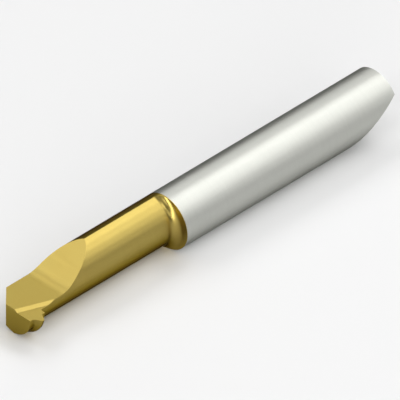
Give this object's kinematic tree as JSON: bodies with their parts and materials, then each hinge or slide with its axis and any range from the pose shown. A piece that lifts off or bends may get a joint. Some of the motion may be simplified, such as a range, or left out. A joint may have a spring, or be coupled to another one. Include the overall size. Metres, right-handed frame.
{
  "type": "threading insert",
  "caption": "Round-shank solid carbide insert with an eccentric neck and a coated head, whose single tooth cuts internal threads in small bores.",
  "frame": {"origin": "on the shank axis, in the plane of the shoulder where the shank meets the neck", "axes": "+X along the shank towards its rear end, -Y to the side that cuts, +Z out of the rake face"},
  "size_m": [0.0479, 0.006, 0.006],
  "materials": {
    "carbide": "ground cemented carbide, bare on the shank and gold nitride-coated from the shoulder to the tip"
  },
  "bodies": {
    "root": {"threading_insert": "carbide"}
  },
  "joints": []
}
